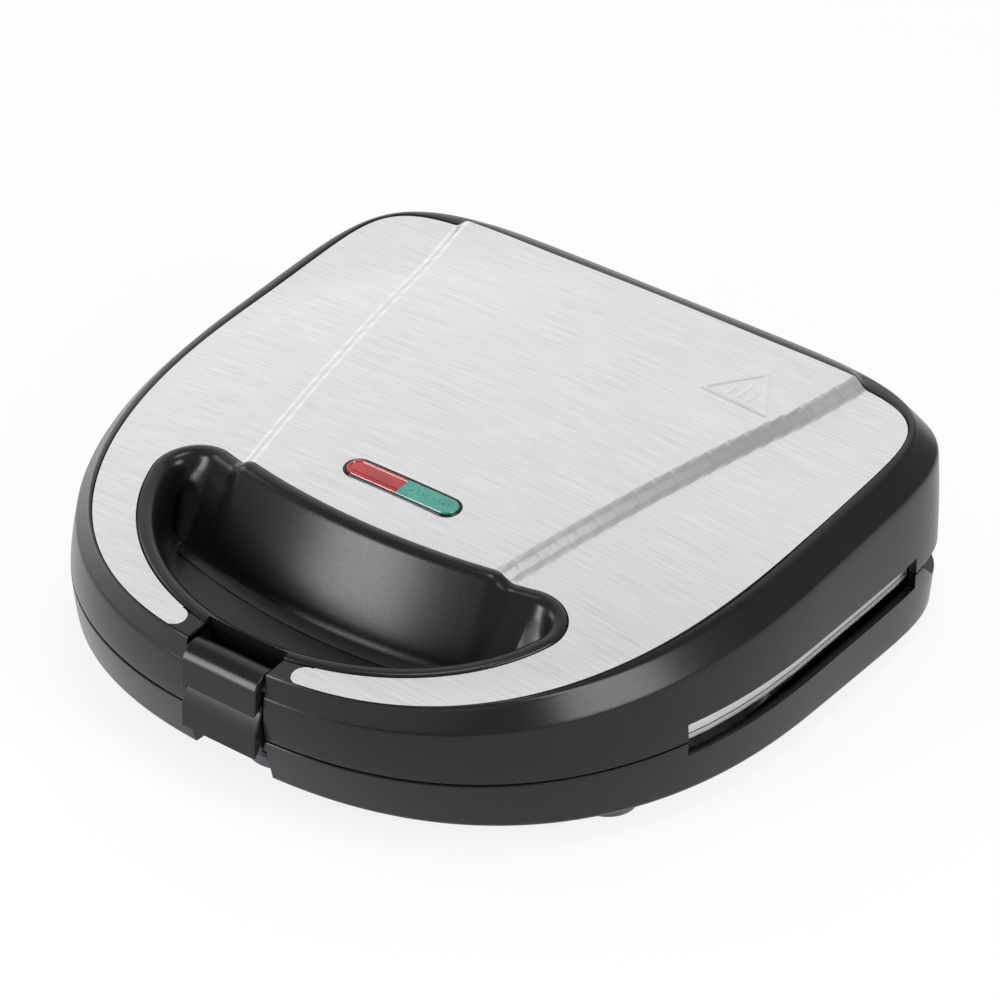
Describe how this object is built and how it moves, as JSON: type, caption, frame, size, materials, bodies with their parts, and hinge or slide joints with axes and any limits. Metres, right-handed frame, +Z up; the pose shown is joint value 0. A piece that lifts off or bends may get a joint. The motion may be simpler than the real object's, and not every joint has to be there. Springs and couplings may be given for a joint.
{
  "type": "breakfast sandwich maker",
  "caption": "Closed clamshell sandwich maker with a black casing, brushed steel lid, grip well, front latch and red and green lights.",
  "frame": {"origin": "on the table, under the middle of the closed part's box", "axes": "+X to the part's right seen from its latch, +Y from the latch to the hinge, +Z up"},
  "size_m": [0.2302, 0.231, 0.0678],
  "materials": {
    "gloss_black": "polished piano black",
    "steel_sheet": "brushed along the part's width",
    "cast_plate": "cast, coated dark on the cooking side",
    "heater_steel": "heat-tinted, matte",
    "bright_sheet": "bright sheet",
    "plated_steel": "plated",
    "foot_rubber": "matte blue-grey",
    "black_rubber": "matte",
    "ceramic": "unglazed ceramic look",
    "wire_sleeve": "glass-fibre sleeve",
    "red_clear": "clear red plastic",
    "green_clear": "clear teal-green plastic",
    "lamp_glass": "clear"
  },
  "bodies": {
    "base": {"lower_housing": "gloss_black", "lower_front_panel": "gloss_black", "lower_cooking_plate": "cast_plate", "lower_heating_element": "heater_steel", "lower_element_clamp": "plated_steel", "lower_clamp_screw": "plated_steel", "lower_reflector": "bright_sheet", "lower_plate_screws": "plated_steel", "lower_panel_screws": "plated_steel", "terminal_block": "ceramic", "cord_inlet_bush": "black_rubber", "base_leads": "wire_sleeve", "foot_front": "foot_rubber", "foot_left_front": "foot_rubber", "foot_right_front": "foot_rubber", "foot_left_rear": "foot_rubber", "foot_right_rear": "foot_rubber", "hinge_pin_left": "plated_steel", "hinge_pin_right": "plated_steel", "hinge_sleeve": "wire_sleeve"},
    "lid": {"upper_housing": "gloss_black", "steel_top_cover": "steel_sheet", "upper_front_panel": "gloss_black", "upper_cooking_plate": "cast_plate", "upper_heating_element": "heater_steel", "upper_element_clamp": "plated_steel", "upper_clamp_screw": "plated_steel", "upper_reflector": "bright_sheet", "upper_plate_screws": "plated_steel", "upper_panel_screws": "plated_steel", "thermostat": "ceramic", "thermal_fuse": "ceramic", "indicator_frame": "gloss_black", "red_lens": "red_clear", "green_lens": "green_clear", "lamp_holder": "ceramic", "red_lamp": "lamp_glass", "green_lamp": "lamp_glass", "lid_leads": "wire_sleeve", "latch_pin": "plated_steel"},
    "latch": {"latch_clip": "gloss_black"}
  },
  "joints": [
    {"name": "lid_hinge", "type": "hinge", "parent": "base", "child": "lid", "pos_m": [0, 0.1035, 0.027], "axis": [-1, 0, 0], "range_deg": [0, 100]},
    {"name": "latch_pivot", "type": "hinge", "parent": "lid", "child": "latch", "pos_m": [0, -0.11, 0.0418], "axis": [-1, 0, 0], "range_deg": [0, 50]}
  ]
}
